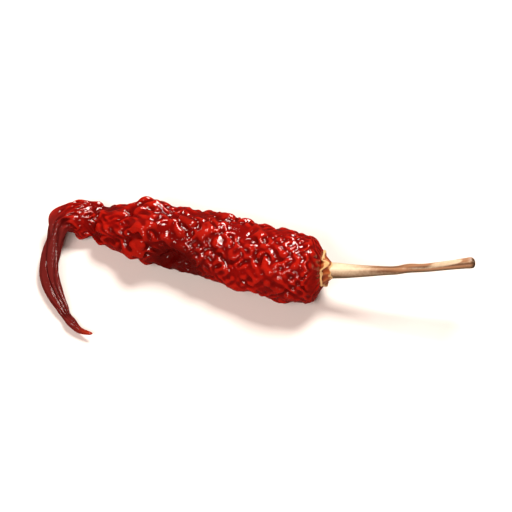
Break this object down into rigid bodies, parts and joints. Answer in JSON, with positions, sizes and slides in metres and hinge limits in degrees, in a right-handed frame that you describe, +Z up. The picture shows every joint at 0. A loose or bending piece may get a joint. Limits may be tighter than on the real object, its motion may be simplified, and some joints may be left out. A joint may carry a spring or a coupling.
{
  "type": "dried chilli pepper",
  "caption": "Dried chilli pepper lying on its side: a creased, plump red pod with a hooked shrivelled tail, a toothed calyx cap and a slender straw-coloured stem.",
  "frame": {"origin": "under the middle of the whole pepper's box, on the surface it lies on", "axes": "+X along the pepper's length, from the tail's bend towards the stem; +Z up from the surface; the tail hooks towards -Y"},
  "size_m": [0.1054, 0.0368, 0.0169],
  "materials": {
    "pod_skin": "gloss",
    "calyx_straw": "matte",
    "stem_straw": "satin"
  },
  "bodies": {
    "root": {"pod": "pod_skin", "calyx": "calyx_straw", "stem": "stem_straw"}
  },
  "joints": []
}
